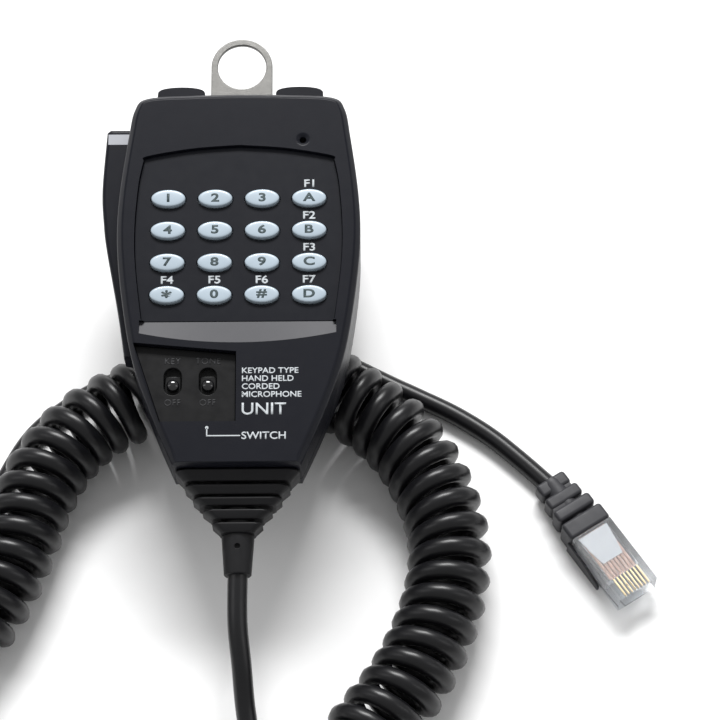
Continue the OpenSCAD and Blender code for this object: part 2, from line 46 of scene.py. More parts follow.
# Lengths are in millimetres until a piece is placed. MIC takes the
# microphone's own frame, with the shells' joint at Z = 0, to how it lies,
# and PLUG does the same for the plug, whose cord comes in along its X axis.
MM = 0.001
WEDGE = radians(9)
HANGER_Y = 66
TOP_Y = 52.9
END_Y = -48.1
REAR_H = 21.7
FRONT_H = 13
WALL = 2.2
COIL_D = 21.5
CORD_D = 5
CLEARANCE = 0.1
# Height of the surface that the cord lies on; the case lies on the curly part.
REST_Z = sin(WEDGE) * (TOP_Y - HANGER_Y) - cos(WEDGE) * REAR_H - COIL_D - CLEARANCE
SCALE = Matrix.Scale(MM, 4)
MIC = Matrix.Rotation(WEDGE, 4, "X") @ SCALE @ Matrix.Translation((0, -HANGER_Y, 0))
PLUG_AT = (89.6, -118.2)
PLUG_TURN = radians(-57)
PLUG = SCALE @ Matrix.Translation((*PLUG_AT, REST_Z)) @ Matrix.Rotation(PLUG_TURN, 4, "Z")


# ---------------------------------------------------------------- camera

def add_camera():
    """The camera looks along +Y and down, and is turned a little."""
    elevation = radians(61)
    roll = radians(-0.4)
    target = Vector((30.7, -88.3, -0.8)) * MM
    distance = 0.7
    forward = Vector((0, cos(elevation), -sin(elevation)))
    level = Vector((1, 0, 0))
    up = Vector((0, sin(elevation), cos(elevation)))
    right = cos(roll) * level + sin(roll) * up
    up = right.cross(forward)
    turn = Matrix((right, up, -forward)).transposed()
    data = bpy.data.cameras.new("camera")
    data.lens = 140
    data.sensor_width = 36
    data.clip_start = 0.01
    camera = bpy.data.objects.new("camera", data)
    camera.matrix_world = Matrix.Translation(target - distance * forward) @ turn.to_4x4()
    scene.collection.objects.link(camera)
    scene.camera = camera


add_camera()


# ------------------------------------------------------------- materials

def new_material(name, colour, rough, metal=0.0):
    material = bpy.data.materials.new(name)
    material.use_nodes = True
    shader = material.node_tree.nodes["Principled BSDF"]
    shader.inputs["Base Color"].default_value = (*colour, 1)
    shader.inputs["Roughness"].default_value = rough
    shader.inputs["Metallic"].default_value = metal
    return material, material.node_tree, shader


def noise(tree, scale, detail, stretch=(1, 1, 1)):
    place = tree.nodes.new("ShaderNodeTexCoord")
    spread = tree.nodes.new("ShaderNodeMapping")
    spread.inputs["Scale"].default_value = stretch
    texture = tree.nodes.new("ShaderNodeTexNoise")
    texture.inputs["Scale"].default_value = scale
    texture.inputs["Detail"].default_value = detail
    tree.links.new(place.outputs["Object"], spread.inputs["Vector"])
    tree.links.new(spread.outputs["Vector"], texture.inputs["Vector"])
    return texture.outputs["Fac"]


def ramp(tree, value, low, high):
    """Colours or greys between low and high as value goes from 0.3 to 0.7."""
    node = tree.nodes.new("ShaderNodeValToRGB")
    for stop, position, colour in zip(node.color_ramp.elements, (0.3, 0.7), (low, high)):
        stop.position = position
        stop.color = (*colour, 1)
    tree.links.new(value, node.inputs["Fac"])
    return node.outputs["Color"]


def add_bump(tree, shader, height, strength, distance):
    bump = tree.nodes.new("ShaderNodeBump")
    bump.inputs["Strength"].default_value = strength
    bump.inputs["Distance"].default_value = distance
    tree.links.new(height, bump.inputs["Height"])
    tree.links.new(bump.outputs["Normal"], shader.inputs["Normal"])


GRAIN_SIZE = 0.00005
LEAST_ROUGH = 0.02


def surface(name, colour, rough, metal=0.0, mottle=0.08, mottle_scale=120, grain=4500,
            grain_depth=0.25, rough_swing=0.06, stretch=(1, 1, 1), coat=0.0, shine=0.5):
    """Opaque surface with mottled colour, uneven gloss and a fine grain."""
    material, tree, shader = new_material(name, colour, rough, metal)
    low = [c * (1 - mottle) for c in colour]
    high = [min(1, c * (1 + mottle)) for c in colour]
    patches = noise(tree, mottle_scale, 4)
    tree.links.new(ramp(tree, patches, low, high), shader.inputs["Base Color"])
    wear = noise(tree, mottle_scale * 3, 3, stretch)
    smoothest = max(LEAST_ROUGH, rough - rough_swing)
    gloss = ramp(tree, wear, [smoothest] * 3, [rough + rough_swing] * 3)
    tree.links.new(gloss, shader.inputs["Roughness"])
    if grain_depth:
        add_bump(tree, shader, noise(tree, grain, 2, stretch), grain_depth, GRAIN_SIZE)
    shader.inputs["Coat Weight"].default_value = coat
    shader.inputs["Specular IOR Level"].default_value = shine
    return material


CASE = surface("case_plastic", (0.0062, 0.0068, 0.0105), 0.37, mottle=0.03, grain_depth=0.35,
               rough_swing=0.015, shine=0.13)
PANEL = surface("panel_plastic", (0.0068, 0.0075, 0.011), 0.33, mottle=0.03, grain=7000,
                grain_depth=0.1, rough_swing=0.015, shine=0.17)
# Case plastic made lighter on the band that slopes up toward the lamp: painted light.
PAINTED_LIT_BAND = surface("band_plastic_painted_light", (0.038, 0.038, 0.044), 0.45, grain_depth=0.15, mottle=0.01,
               rough_swing=0.004, shine=0.22)
BAY_PLASTIC = surface("bay_plastic", (0.0045, 0.0045, 0.005), 0.4, grain_depth=0.15, shine=0.18)
RELIEF_MARK = surface("bay_mark", (0.018, 0.018, 0.02), 0.45, grain_depth=0.1, shine=0.25)
KEY = surface("key_plastic", (0.36, 0.43, 0.49), 0.34, mottle=0.03, grain_depth=0.06, coat=0.1)
LEGEND = surface("legend_ink", (0.02, 0.04, 0.045), 0.55, grain_depth=0.1)
PRINT = surface("white_print", (0.45, 0.48, 0.5), 0.5, grain_depth=0.1)
KNOB = surface("knob_plastic", (0.006, 0.006, 0.007), 0.1, mottle=0.2, grain_depth=0.03, coat=0.4)
RUBBER = surface("relief_rubber", (0.007, 0.007, 0.008), 0.48, grain=5000, grain_depth=0.25,
                 shine=0.22)
JACKET = surface("cord_jacket", (0.0045, 0.0045, 0.0055), 0.34, mottle=0.15, mottle_scale=200,
                 rough_swing=0.02, grain=2600, grain_depth=0.06, shine=0.35)
BOOT_RUBBER = surface("boot_rubber", (0.028, 0.028, 0.032), 0.5, grain_depth=0.25, shine=0.3)
STEEL = surface("brushed_steel", (0.15, 0.148, 0.142), 0.36, 1.0, mottle=0.06, grain=900,
                grain_depth=0.3, stretch=(1, 22, 22))
SCREW = surface("zinc_screw", (0.5, 0.5, 0.49), 0.35, 1.0, mottle=0.12, grain_depth=0.2)
GOLD = surface("gold_contact", (0.55, 0.44, 0.26), 0.3, 1.0, grain_depth=0.1)
WIRE = surface("wire_jacket", (0.66, 0.42, 0.33), 0.4, grain_depth=0.1)
BOARD = surface("board_mask", (0.02, 0.10, 0.05), 0.3, mottle=0.3, mottle_scale=500, coat=0.3)
CHIP = surface("chip_epoxy", (0.02, 0.02, 0.02), 0.6, mottle=0.3, mottle_scale=600)
SILICONE = surface("mat_silicone", (0.6, 0.6, 0.58), 0.6, mottle=0.04)
RESIN = surface("lamp_resin", (0.85, 0.83, 0.7), 0.15, mottle=0.04, coat=0.4)
# Pale grey for the strip on the top end of the bar: a painted highlight.
PAINTED_HIGHLIGHT_TIP = surface("bar_tip_painted_highlight", (0.34, 0.35, 0.38), 0.4, mottle=0.06, grain_depth=0.15)


def clear_plastic():
    """Slightly hazy and wavy. The low IOR keeps the wires in it from being bent out of sight."""
    material, tree, shader = new_material("clear_polycarbonate", (0.93, 0.95, 0.97), 0.06)
    shader.inputs["Transmission Weight"].default_value = 0.9
    shader.inputs["IOR"].default_value = 1.2
    add_bump(tree, shader, noise(tree, 300, 2), 0.15, 0.0002)
    haze = ramp(tree, noise(tree, 150, 3), [0.04] * 3, [0.12] * 3)
    tree.links.new(haze, shader.inputs["Roughness"])
    return material


CLEAR = clear_plastic()
MILKY = surface("crimp_plastic", (0.72, 0.73, 0.74), 0.2, mottle=0.05, grain_depth=0.08, coat=0.3)


# ------------------------------------------------------- making of meshes

def add_object(name, data):
    item = bpy.data.objects.new(name, data)
    scene.collection.objects.link(item)
    return item


def add_mesh(name, points, faces, place):
    mesh = bpy.data.meshes.new(name)
    mesh.from_pydata([place @ Vector(p) for p in points], [], faces)
    work = bmesh.new()
    work.from_mesh(mesh)
    bmesh.ops.recalc_face_normals(work, faces=work.faces)
    work.to_mesh(mesh)
    work.free()
    return add_object(name, mesh)


def loft(name, rings, place=MIC):
    """Skin through rings of equal length, with capped ends."""
    n = len(rings[0])
    last = len(rings) - 1
    points = [p for ring in rings for p in ring]
    faces = []
    for k in range(last):
        a, b = k * n, (k + 1) * n
        faces += [(a + i, a + (i + 1) % n, b + (i + 1) % n, b + i) for i in range(n)]
    faces += [tuple(range(n)), tuple(last * n + i for i in range(n))]
    return add_mesh(name, points, faces, place)


def prism(name, outline, low, high, place=MIC):
    return loft(name, [[(x, y, z) for x, y in outline] for z in (low, high)], place)


def box(name, low, high, place=MIC):
    (x0, y0, z0), (x1, y1, z1) = low, high
    return prism(name, [(x0, y0), (x1, y0), (x1, y1), (x0, y1)], z0, z1, place)


def lathe(name, profile, base=(0, 0, 0), axis="Z", steps=48, place=MIC):
    """Turned solid. profile is a list of (radius, distance along the axis)."""
    rings = []
    for r, h in profile:
        ring = []
        for i in range(steps):
            a = 2 * pi * i / steps
            u, v = r * cos(a), r * sin(a)
            p = {"Z": (u, v, h), "Y": (u, h, v), "X": (h, u, v)}[axis]
            ring.append(tuple(b + q for b, q in zip(base, p)))
        rings.append(ring)
    return loft(name, rings, place)


def baked(item):
    """Applies every modifier."""
    graph = bpy.context.evaluated_depsgraph_get()
    mesh = bpy.data.meshes.new_from_object(item.evaluated_get(graph))
    item.modifiers.clear()
    item.data = mesh
    return item


def cut(item, *tools):
    """Takes the tools' shapes away from item and removes the tools."""
    for tool in tools:
        mod = item.modifiers.new("cut", "BOOLEAN")
        mod.operation = "DIFFERENCE"
        mod.solver = "EXACT"
        mod.object = tool
    baked(item)
    for tool in tools:
        bpy.data.objects.remove(tool)


def joined(name, items):
    """One object from several, whose meshes are kept side by side."""
    work = bmesh.new()
    for item in items:
        work.from_mesh(item.data)
        bpy.data.objects.remove(item)
    mesh = bpy.data.meshes.new(name)
    work.to_mesh(mesh)
    work.free()
    return add_object(name, mesh)


# Bevels wider than this are held back where they would overlap.
CLAMPED_RADIUS = 0.3


def rounded(item, radius, steps=3, angle=35):
    """Rounds the edges that are sharper than the angle and shades the rest smooth."""
    if radius:
        mod = item.modifiers.new("edges", "BEVEL")
        mod.width = radius * MM
        mod.segments = steps
        mod.limit_method = "ANGLE"
        mod.angle_limit = radians(angle)
        mod.use_clamp_overlap = radius > CLAMPED_RADIUS
        baked(item)
    shade(item, angle)
    mod = item.modifiers.new("normals", "WEIGHTED_NORMAL")
    mod.keep_sharp = True
    mod.weight = 70
    return baked(item)


def shade(item, angle):
    work = bmesh.new()
    work.from_mesh(item.data)
    for face in work.faces:
        face.smooth = True
    for edge in work.edges:
        edge.smooth = len(edge.link_faces) == 2 and edge.calc_face_angle(0) < radians(angle)
    work.to_mesh(item.data)
    work.free()


def finish(item, material, nodes, body="microphone"):
    """Gives a finished piece its material and its body, and hides the CAD nodes it stands for."""
    item.data.materials.clear()
    item.data.materials.append(material)
    if item.name.split(".")[0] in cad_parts:
        item.name = item.name.split(".")[0] + "_form"
    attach(item, body)
    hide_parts(*([nodes] if isinstance(nodes, str) else nodes))
    return item


# ---------------------------------------------------------------- outlines

def spline(points, n):
    """Catmull-Rom curve through points with n steps per span."""
    out = []
    last = len(points) - 1
    for i in range(last):
        a, b = Vector(points[max(i - 1, 0)]), Vector(points[i])
        c, d = Vector(points[i + 1]), Vector(points[min(i + 2, last)])
        for k in range(n):
            t = k / n
            out.append(0.5 * (2 * b + (c - a) * t + (2 * a - 5 * b + 4 * c - d) * t * t
                              + (3 * b - a - 3 * c + d) * t ** 3))
    out.append(Vector(points[-1]))
    return out


def mirrored(half):
    """Closed outline from its right half, which starts and ends on the middle line."""
    left = [(-p[0], p[1]) for p in reversed(half) if p[0] > 0.001]
    return [tuple(p) for p in half] + left


def inset(outline, d):
    """Outline moved inwards by d, with sharp corners held in."""
    out = []
    n = len(outline)
    for i in range(n):
        p = Vector(outline[i][:2])
        a = (p - Vector(outline[i - 1][:2])).normalized()
        b = (Vector(outline[(i + 1) % n][:2]) - p).normalized()
        m = (a + b).normalized()
        out.append(tuple(p + d * Vector((-m.y, m.x)) / max(m.dot(b), 0.7)))
    return out


def ellipse(w, l, at):
    angles = [2 * pi * i / 40 for i in range(40)]
    return [(at[0] + w / 2 * cos(a), at[1] + l / 2 * sin(a)) for a in angles]


HALF = [(16, END_Y), (21.5, -35), (26.6, -20), (29.6, -3), (31, 12),
        (30.6, 25), (28.6, 41), (27.2, 48.6), (24, 51.9), (12, 52.7), (0, TOP_Y)]
CASE_OUTLINE = mirrored([(0, END_Y), (8, END_Y)] + spline(HALF, 6))
PANEL_SIDE = [(24.4, -10), (26.1, 4), (26.5, 15), (25.7, 27), (24.5, 33.6)]
PANEL_TOP = [(24.5, 33.6), (23.6, 34.8), (12, 36.9), (0, 37.8)]
PANEL_OUTLINE = mirrored([(0, -10.4), (23.9, -10.4)] + spline(PANEL_SIDE, 4)[:-1]
                         + spline(PANEL_TOP, 5))
PANEL_Z = 11.8
CEILING_Z = 9.6
PANEL_MID = 13


def shrunk_panel(k):
    """The panel's outline made k times as large about its middle."""
    return [(k * x, PANEL_MID + k * (y - PANEL_MID)) for x, y in PANEL_OUTLINE]


BAND_HALF = 24.8
BAND_X = [-BAND_HALF + 2 * BAND_HALF * i / 24 for i in range(25)]


def band_low(x):
    """Lower edge of the sloping band under the keypad."""
    return -16.4 + 2.6 * (x / BAND_HALF) ** 2


BAY_LOW = -37.2
BAY_RIGHT = -0.3


def bay_left(y):
    """Left edge of the switch bay, which leans with the case's side."""
    return -19.3 - (y - BAY_LOW) * 0.33


BAY = [(bay_left(BAY_LOW), BAY_LOW), (BAY_RIGHT, BAY_LOW), (BAY_RIGHT, -18.7),
       (-13, -17.5), (bay_left(-16.2), -16.2)]
WELL_X = (-16.2, -7.4)
WELL_Y = -26
WELL_W = 4.4
WELL_L = 7.2
BUTTON_X = 15.4
BUTTON_W = 12.4
SCREWS_TOP = [(-19.5, 37.5), (23.8, 36)]
SCREWS_LOW = [(-11.5, -41.5), (11.5, -41.5)]
CAPSULE = (16.4, 39.3)
PIN_AT = (-23, -14)
SPRING_Y = 28
SPRING_Z = -1


def stadium(w, l, at):
    """Slot shape with round ends."""
    out = []
    for end, start in ((1, 0), (-1, pi)):
        for i in range(17):
            a = start + pi * i / 16
            out.append((at[0] + w / 2 * cos(a), at[1] + end * (l - w) / 2 + w / 2 * sin(a)))
    return out


# ------------------------------------------------------------------- case

SHELL_EDGE = 0.38
BACK_EDGE = 1.6
SINK_Z = -2.2
PANEL_BED = PANEL_Z - 1.05


def rear_depth(y):
    """Depth of the wedge-shaped rear shell below the joint."""
    return REAR_H - (TOP_Y - y) * tan(WEDGE)


def window_tools():
    """Openings that both shells share: bar, top buttons, hanger plate and strain relief."""
    half = BUTTON_W / 2 + 0.3
    tools = [box("tool", (-40, -17.4, -5.3), (-22.6, 47.4, 3.7))]
    for x in (-BUTTON_X, BUTTON_X):
        tools.append(box("tool", (x - half, 47.9, 1.7), (x + half, 56, 8.3)))
    tools.append(box("tool", (-8.2, 40, -0.6), (8.2, 55, 0.6)))
    tools.append(lathe("tool", [(3.6, -52), (3.6, -44)], (0, 0, 2), "Y"))
    return tools


def front_case():
    profile = [(0.15, 0), (0, 0.18), (0, 6), (0, 11), (0.1, 11.3), (0.35, 11.7), (1.15, 12.6),
               (1.35, 12.8), (1.6, 12.94), (1.85, FRONT_H)]
    rings = []
    for d, z in profile:
        # The bevel is narrow at the cord end.
        rings.append([(x, y - 0.75 * d if y < END_Y + 2 and abs(x) < 17 else y, z)
                      for x, y in inset(CASE_OUTLINE, d)])
    item = loft("front_case", rings)
    band = [(x, -10.3) for x in reversed(BAND_X)] + [(x, band_low(x)) for x in BAND_X]
    tools = [
        prism("tool", inset(CASE_OUTLINE, WALL), -1, CEILING_Z),
        prism("tool", PANEL_OUTLINE, PANEL_BED, 16),
        prism("tool", shrunk_panel(0.94), 5, 12),
        prism("tool", band, PANEL_BED, 16),
        prism("tool", BAY, 9.95, 16),
        prism("tool", inset(BAY, 1.2), 5, 12),
        lathe("tool", [(0.9, 5), (0.9, 12.4), (1.3, 12.6), (2.1, 13.05), (2.1, 15)],
              (*CAPSULE, 0)),
    ]
    cut(item, *tools)
    cut(item, *window_tools())
    rounded(item, SHELL_EDGE, 4, 38)
    finish(item, CASE, "front_case")
    # Band with a crescent outline that slopes up from the keypad to the face. Its lighter grey is
    # painted light from the lamp above.
    top = [(x, -10.45, PANEL_Z) for x in BAND_X]
    low = [(x, band_low(x) + 0.08, 12.86) for x in BAND_X]
    under = [(x, y, PANEL_Z - 1) for x, y, _ in low]
    back = [(x, y, PANEL_Z - 1) for x, y, _ in top]
    band = loft("keypad_band", [list(r) for r in zip(top, low, under, back)])
    finish(rounded(band, 0), PAINTED_LIT_BAND, "front_case")


def on_back(outline, heights):
    """Rings that follow the outline and the back face, at heights measured out of the case."""
    return [[(x, y, h - rear_depth(y)) for x, y in outline] for h in heights]


def rear_case():
    rings = []
    for k in range(5):
        a = pi / 2 * k / 4
        d = BACK_EDGE * (1 - cos(a))
        rings.append([(x, y, -rear_depth(y) + BACK_EDGE - BACK_EDGE * sin(a))
                      for x, y in inset(CASE_OUTLINE, d)])
    rings.reverse()
    rings.append([(x, y, -0.18) for x, y in CASE_OUTLINE])
    rings.append([(x, y, 0) for x, y in inset(CASE_OUTLINE, 0.15)])
    item = loft("rear_case", rings)
    low = [(x, y, -rear_depth(y) + WALL) for x, y in inset(CASE_OUTLINE, WALL)]
    hollow = loft("tool", [low, [(x, y, 1) for x, y, _ in low]])
    cut(item, hollow)
    tools = window_tools()
    for p in SCREWS_TOP + SCREWS_LOW:
        tools.append(lathe("tool", [(2.4, -40), (2.4, SINK_Z)], (*p, 0)))
    # Shallow pocket in the back for a blank rating plate.
    plate = [(-13, -10), (13, -10), (13, 14), (-13, 14)]
    tools.append(loft("tool", on_back(plate, (-3, 0.35))))
    cut(item, *tools)
    rounded(item, SHELL_EDGE, 4, 38)
    finish(item, CASE, "rear_case")
    plate = [(x * 0.985, (y - 2) * 0.985 + 2) for x, y in plate]
    label = loft("rating_plate", on_back(plate, (0.12, 0.4)))
    finish(rounded(label, 0.1, 2), PANEL, "rear_case")


THREAD_R = 1.05
THREAD_PITCH = 0.5


def screw(name, at, top, length, radius, nodes, up=1):
    """Pan-head screw with a cross recess. up is 1 if the head points to +Z."""
    profile = [(0.01, top), (0.6 * radius, top - 0.05 * up), (0.9 * radius, top - 0.35 * up),
               (radius, top - 0.8 * up), (radius, top - 1.3 * up), (THREAD_R, top - 1.3 * up)]
    for k in range(int((length - 1.6) / THREAD_PITCH)):
        crest = top - (1.5 + THREAD_PITCH * k) * up
        profile += [(THREAD_R, crest), (THREAD_R - 0.2, crest - THREAD_PITCH / 2 * up)]
    profile.append((0.4, top - length * up))
    item = lathe(name, profile, (*at, 0), steps=32)
    low, high = sorted((top - 0.7 * up, top + up))
    for w, l in ((0.5, 1.15 * radius), (1.15 * radius, 0.5)):
        cut(item, box("tool", (at[0] - w / 2, at[1] - l / 2, low),
                      (at[0] + w / 2, at[1] + l / 2, high)))
    finish(rounded(item, 0, 3, 30), SCREW, nodes)


# ----------------------------------------------------------------- keypad

KEY_DX = 12
KEY_DY = 8.8
KEY_Y = 23.1
KEY_W = 8.7
KEY_L = 4.6
KEY_NAMES = [["key_1", "key_2", "key_3", "key_a"], ["key_4", "key_5", "key_6", "key_b"],
             ["key_7", "key_8", "key_9", "key_c"], ["key_star", "key_0", "key_hash", "key_d"]]
LEGENDS = ["123A", "456B", "789C", "*0#D"]
KEY_FLANGE = 1.6
INK_OVER = 0.035
INK_UNDER = -0.06
# Profile of a key cap: share of its half-width, and height.
CAP = [(1, 10.1), (1, 12.6), (0.985, 12.8), (0.95, 12.92), (0.88, 13.0), (0.74, 13.05),
       (0.45, 13.09), (0.02, 13.1)]


def key_at(r, c):
    """Middle of the key in row r and column c."""
    return (c - 1.5) * KEY_DX, KEY_Y - r * KEY_DY


def cap_height(x, y):
    """Height of a key cap's top at x, y from its middle."""
    share = min(0.97, ((2 * x / KEY_W) ** 2 + (2 * y / KEY_L) ** 2) ** 0.5)
    for (s0, z0), (s1, z1) in zip(CAP[1:], CAP[2:]):
        if s1 <= share <= s0:
            return z0 + (z1 - z0) * (s0 - share) / (s0 - s1)
    return CAP[-1][1]


def level(z):
    return lambda x, y: z


def lettering(name, text, size, at, height, bold=0.0, left=False, wide=1.0):
    """Flat letters, divided finely and laid on the surface that height(x, y) gives."""
    curve = bpy.data.curves.new(name, "FONT")
    curve.body = text
    curve.size = size
    curve.offset = bold
    curve.align_x = "CENTER"
    curve.align_y = "CENTER"
    curve.resolution_u = 6
    item = add_object(name, curve)
    graph = bpy.context.evaluated_depsgraph_get()
    mesh = bpy.data.meshes.new_from_object(item.evaluated_get(graph))
    bpy.data.objects.remove(item)
    work = bmesh.new()
    work.from_mesh(mesh)
    xs = [v.co.x for v in work.verts]
    ys = [v.co.y for v in work.verts]
    start_x = min(xs) if left else (min(xs) + max(xs)) / 2
    start = Vector((start_x, (min(ys) + max(ys)) / 2, 0))
    bmesh.ops.triangulate(work, faces=work.faces)
    long_edges = [e for e in work.edges if e.calc_length() > 0.5]
    bmesh.ops.subdivide_edges(work, edges=long_edges, cuts=2)
    bmesh.ops.triangulate(work, faces=work.faces)
    grown = bmesh.ops.extrude_face_region(work, geom=work.faces[:])
    raised = {v for v in grown["geom"] if isinstance(v, bmesh.types.BMVert)}
    for v in work.verts:
        p = v.co - start
        p.x *= wide
        z = height(p.x, p.y) + (INK_OVER if v in raised else INK_UNDER)
        v.co = MIC @ Vector((at[0] + p.x, at[1] + p.y, z))
    bmesh.ops.recalc_face_normals(work, faces=work.faces)
    work.to_mesh(mesh)
    work.free()
    return add_object(name, mesh)


def key(r, c):
    name = KEY_NAMES[r][c]
    at = key_at(r, c)
    flange = ellipse(KEY_W + KEY_FLANGE, KEY_L + KEY_FLANGE, at)
    rings = [[(*p, z) for p in flange] for z in (9, CAP[0][1])]
    for share, z in CAP:
        rings.append([(*p, z) for p in ellipse(KEY_W * share, KEY_L * share, at)])
    cap = rounded(loft(name + "_cap", rings), 0, 3, 50)
    finish(cap, KEY, name, name)
    text = LEGENDS[r][c]
    # The asterisk fills less of its line than the other signs.
    size = 4.4 if text == "*" else 3.1
    mark = lettering(name + "_legend", text, size, at, cap_height, 0.1, wide=1.35)
    finish(mark, LEGEND, name, name)


def keypad():
    plate = prism("key_panel", inset(PANEL_OUTLINE, 0.1), PANEL_Z - 1, PANEL_Z)
    holes = [prism("tool", ellipse(KEY_W + 0.6, KEY_L + 0.6, key_at(r, c)), 9, 14)
             for r in range(4) for c in range(4)]
    cut(plate, joined("tool", holes))
    finish(rounded(plate, 0.14, 2, 38), PANEL, "key_panel")
    for r in range(4):
        for c in range(4):
            key(r, c)
    # Plain function marks above the last column and the last row.
    places = [key_at(r, 3) for r in range(3)] + [key_at(3, c) for c in range(4)]
    for i, (x, y) in enumerate(places):
        mark = lettering("function_mark_%d" % (i + 1), "F%d" % (i + 1), 2.9, (x, y + 4.3),
                         level(PANEL_Z), 0.07, wide=1.2)
        finish(mark, PRINT, "key_panel")


# ------------------------------------------------------------- switch bay

BAY_TOP = 11
KNOB_R = 1.6
KNOB_Z = 10.5
LINE_W = 0.15
LINE_RISE = 0.03


def switch_bay():
    plate = prism("switch_plate", inset(BAY, 0.12), 10, BAY_TOP)
    wells = [prism("tool", stadium(WELL_W, WELL_L, (x, WELL_Y)), 9, 12) for x in WELL_X]
    cut(plate, joined("tool", wells))
    finish(rounded(plate, 0.22, 3, 38), BAY_PLASTIC, "switch_plate")
    for name, x in zip(("lock_knob", "tone_knob"), WELL_X):
        y = WELL_Y - 0.9
        base = box(name + "_slider", (x - 2, y - 2.7, 8.4), (x + 2, y + 2.7, 9.6))
        finish(rounded(base, 0.25, 2), BAY_PLASTIC, name, name)
        dome = [pi / 2 * k / 10 for k in range(1, 11)]
        profile = [(KNOB_R, 9.5), (KNOB_R, KNOB_Z)] + [
            (KNOB_R * cos(a) if a < 1.5 else 0.01, KNOB_Z + sin(a)) for a in dome]
        post = lathe(name + "_post", profile, (x, y, 0))
        finish(rounded(post, 0, 3, 50), KNOB, name, name)
    # Line from a dot under the bay to the right, and plain rows beside the bay.
    low, high = FRONT_H - LINE_RISE, FRONT_H + LINE_RISE
    x0, y0, y1 = WELL_X[1], -38.9, -41.0
    marks = [lathe("dot", [(0.42, low), (0.42, high)], (x0, y0, 0), steps=24),
             box("line", (x0 - LINE_W, y1, low), (x0 + LINE_W, y0, high)),
             box("line", (x0 - LINE_W, y1 - LINE_W, low), (0.9, y1 + LINE_W, high))]
    finish(joined("face_line", marks), PRINT, "front_case")
    rows = [("KEYPAD TYPE", 2.1, -23.9), ("HAND HELD", 2.1, -26.0), ("CORDED", 2.1, -28.1),
            ("MICROPHONE", 2.1, -30.2), ("UNIT", 4.4, -34.0), ("SWITCH", 2.7, y1)]
    for i, (text, size, y) in enumerate(rows):
        mark = lettering("face_mark_%d" % (i + 1), text, size, (1.2, y), level(FRONT_H), 0.04,
                         True, 1.1)
        finish(mark, PRINT, "front_case")
    for i, x in enumerate(WELL_X):
        for text, y in (("KEY" if i == 0 else "TONE", -20.6), ("OFF", -31.6)):
            mark = lettering("bay_mark", text, 2.4, (x, y), level(BAY_TOP), 0.05)
            finish(mark, RELIEF_MARK, "switch_plate")


# ------------------------------------------------ bar, buttons and hanger

def ptt_bar():
    """Bar that bulges to the left, with softened outer edges and a pale strip on top, which is a
    painted highlight.
    """
    outer = [(-29.3, -16.4), (-31.2, -4), (-34.3, 12.5), (-35.3, 20), (-35.9, 30), (-35, 46)]
    inner = [(-34.2, 46.8), (-25.6, 46.8), (-26.3, 38), (-26.6, 28), (-26.4, 12), (-25.8, 0),
            (-25, -8), (-22.4, -11.4), (-20.9, -12.6), (-20.5, -14.4), (-21.4, -16), (-23, -16.6),
            (-26, -16.6)]
    outline = [tuple(p) for p in spline(outer, 8)] + inner
    rings = []
    for d, z in [(1.1, -5), (0.55, -4.88), (0.2, -4.55), (0, -4), (0, 2.4), (0.2, 2.95),
                 (0.55, 3.28), (1.1, 3.4)]:
        rings.append([(x + (d if x < -27 else 0), y - (d if y > 46 else 0), z) for x, y in outline])
    bar = loft("ptt_bar", rings)
    cut(bar, lathe("tool", [(1.05, -10), (1.05, 10)], (*PIN_AT, 0)))
    finish(rounded(bar, 0, 3, 50), CASE, "ptt_bar", "ptt_bar")
    # Pale strip on top of the bar's end: a painted highlight.
    strip = box("ptt_painted_highlight_strip", (-34.6, 42.4, 3.36), (-26.6, 45.3, 3.46))
    finish(rounded(strip, 0.03, 2), PAINTED_HIGHLIGHT_TIP, "ptt_bar", "ptt_bar")


def ptt_spring():
    """Coil spring between the bar and the case, built at its rest length; nothing here shortens it
    as the bar goes in.
    """
    start, end, turns, steps, radius, wire = -26.2, -20.8, 5, 16, 1.8, 0.25
    along = Vector((1, 0, 0))
    rings = []
    for i in range(turns * steps + 1):
        a = 2 * pi * i / steps
        middle = Vector((start + (end - start) * i / (turns * steps),
                         SPRING_Y + radius * cos(a), SPRING_Z + radius * sin(a)))
        out = Vector((0, cos(a), sin(a)))
        rings.append([middle + wire * (cos(b) * out + sin(b) * along)
                      for b in (2 * pi * k / 8 for k in range(8))])
    item = finish(rounded(loft("ptt_spring", rings), 0, 3, 60), STEEL, "ptt_spring")
    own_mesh(item)


def top_buttons():
    """Two buttons with a rounded nose, a slot on top and a flange that holds them in."""
    for name, s in (("up_button", -1), ("down_button", 1)):
        x = s * BUTTON_X
        w = BUTTON_W / 2
        nose = [(x + w * cos(pi * i / 24), 54 + 2.6 * max(sin(pi * i / 24), 0) ** 0.5)
                for i in range(25)]
        item = prism(name, [(x + w, 49.6)] + nose + [(x - w, 49.6)], 2, 8)
        cut(item, box("tool", (x - w + 2.4, 55.7, 6.0), (x + w - 2.4, 58, 6.9)))
        finish(rounded(item, 0.55, 4, 40), CASE, name, name)
        flange = box(name + "_flange", (x - w + 0.4, 49.1, 0.8), (x + w - 0.4, 49.7, 8))
        finish(rounded(flange, 0.1, 2), CASE, name, name)


HANGER_SCREWS = [(-5, 44.5), (5, 44.5)]
BOARD_SCREWS = [(-16.5, -12.6), (14, -24), (5, -34)]


def hanger():
    """Steel hanging loop, held inside the case by two screws."""
    outer, hole, thick, steps = 8.1, 6.4, 0.6, 96
    arc = [(outer * cos(pi * i / steps), HANGER_Y + outer * sin(pi * i / steps))
           for i in range(steps + 1)]
    plate = prism("hanger_plate", [(outer, 41)] + arc + [(-outer, 41)], -thick, thick)
    tools = [lathe("tool", [(hole, -3), (hole, 3)], (0, HANGER_Y, 0), steps=steps)]
    tools += [lathe("tool", [(1.1, -3), (1.1, 3)], (*p, 0)) for p in HANGER_SCREWS]
    cut(plate, *tools)
    finish(rounded(plate, 0.22, 3, 38), STEEL, "hanger_plate")


